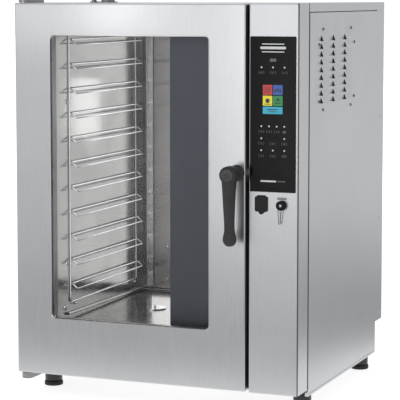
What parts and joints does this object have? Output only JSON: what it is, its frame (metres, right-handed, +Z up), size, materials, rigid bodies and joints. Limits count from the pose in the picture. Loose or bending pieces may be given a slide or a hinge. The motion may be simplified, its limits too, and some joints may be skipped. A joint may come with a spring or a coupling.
{
  "type": "combi steamer oven",
  "caption": "Floor-standing or table-top combi steam oven with a glazed left-hinged door, lever handle, wire tray racks, fan chamber and a right-hand control column.",
  "frame": {"origin": "on the floor, under the middle of the whole object", "axes": "+Z up, +X to the right seen from the front, +Y to the back; the door faces -Y"},
  "size_m": [0.8405, 0.882, 1.149],
  "materials": {
    "steel": "brushed stainless steel, fine grain",
    "sheet_inner": "plain mill finish",
    "cavity_steel": "bright cavity sheet, slightly hazed",
    "polished_steel": "polished",
    "rack_wire": "electropolished wire",
    "frame_steel": "dark zinc",
    "heater_steel": "heat-darkened sheath",
    "motor_paint": "grey enamel",
    "clear_glass": "clear tempered glass",
    "lamp_glass": "frosted lamp glass",
    "black_glass": "back-printed black glass",
    "display": "lit screen",
    "circuit_board": "green laminate",
    "insulation": "mineral wool",
    "black_plastic": "moulded",
    "handle_plastic": "fine moulded grain",
    "valve_plastic": "moulded",
    "black_rubber": "moulded rubber",
    "brass": "turned"
  },
  "bodies": {
    "cabinet": {"base_frame": "frame_steel", "bottom_pan": "sheet_inner", "left_side_panel": "steel", "right_side_panel": "steel", "top_cover": "steel", "back_panel": "steel", "rear_duct_cover": "steel", "control_column": "steel", "control_glass": "black_glass", "display_screen": "display", "control_board": "circuit_board", "gap_strip": "black_rubber", "front_frame": "sheet_inner", "cavity_liner": "cavity_steel", "cavity_insulation": "insulation", "door_gasket": "black_rubber", "rack_studs": "polished_steel", "air_baffle": "cavity_steel", "motor_plate": "sheet_inner", "fan_motor": "motor_paint", "heating_element": "heater_steel", "steam_nozzle": "polished_steel", "water_valve": "valve_plastic", "water_inlets": "brass", "drain_outlet": "steel", "exhaust_chimney": "steel", "vent_pipe": "steel", "cable_gland": "black_plastic", "contactor_rail": "valve_plastic", "cooling_fan_housing": "black_plastic", "panel_rivets": "polished_steel", "hinge_brackets": "polished_steel", "door_striker": "polished_steel", "cavity_lamp": "lamp_glass", "usb_socket": "polished_steel", "probe_socket": "black_plastic", "feet_sleeves": "black_plastic", "feet_pads": "black_rubber"},
    "door": {"door_skin": "steel", "door_back_frame": "sheet_inner", "outer_glass": "clear_glass", "inner_glass": "clear_glass", "window_seal": "black_rubber", "hinge_pins": "polished_steel", "handle_base": "handle_plastic", "latch_case": "frame_steel", "drip_channel": "steel"},
    "latch": {"latch_bolt": "polished_steel"},
    "handle": {"handle_lever": "handle_plastic", "handle_cap": "handle_plastic", "handle_spindle": "polished_steel"},
    "fan": {"fan_wheel": "cavity_steel", "fan_shaft": "polished_steel"},
    "cooling_fan": {"cooling_fan_blades": "black_plastic"},
    "left_rack": {"left_rack": "rack_wire"},
    "right_rack": {"right_rack": "rack_wire"},
    "usb_cover": {"usb_cover": "black_rubber"},
    "probe_cap": {"probe_cap": "black_plastic", "cap_tether": "polished_steel"},
    "drain_filter": {"drain_filter": "polished_steel"}
  },
  "joints": [
    {"name": "door_swing", "type": "hinge", "parent": "cabinet", "child": "door", "pos_m": [-0.397, -0.339, 0.55], "axis": [0, 0, -1], "range_deg": [0, 130]},
    {"name": "handle_turn", "type": "hinge", "parent": "door", "child": "handle", "pos_m": [0.244, -0.361, 0.654], "axis": [0, 1, 0], "range_deg": [0, 75]},
    {"name": "latch_slide", "type": "slide", "parent": "door", "child": "latch", "axis": [-1, 0, 0], "range_m": [0, 0.006]},
    {"name": "fan_spin", "type": "hinge", "parent": "cabinet", "child": "fan", "pos_m": [0.103, 0.004, 0.624], "axis": [1, 0, 0], "continuous": true},
    {"name": "cooling_fan_spin", "type": "hinge", "parent": "cabinet", "child": "cooling_fan", "pos_m": [0.308, 0.339, 0.804], "axis": [0, 1, 0], "continuous": true},
    {"name": "left_rack_lift", "type": "slide", "parent": "cabinet", "child": "left_rack", "axis": [0, 0, 1], "range_m": [0, 0.012]},
    {"name": "right_rack_lift", "type": "slide", "parent": "cabinet", "child": "right_rack", "axis": [0, 0, 1], "range_m": [0, 0.012]},
    {"name": "drain_filter_lift", "type": "slide", "parent": "cabinet", "child": "drain_filter", "axis": [0, 0, 1], "range_m": [0, 0.03]},
    {"name": "usb_cover_flip", "type": "hinge", "parent": "cabinet", "child": "usb_cover", "pos_m": [0.314, -0.36425, 0.595], "axis": [-1, 0, 0], "range_deg": [0, 110]},
    {"name": "probe_cap_pull", "type": "slide", "parent": "cabinet", "child": "probe_cap", "axis": [0, -1, 0], "range_m": [0, 0.025]}
  ],
  "couplings": [
    {"joint": "latch_slide", "follows": "handle_turn", "m_per_rad": 0.004574}
  ]
}
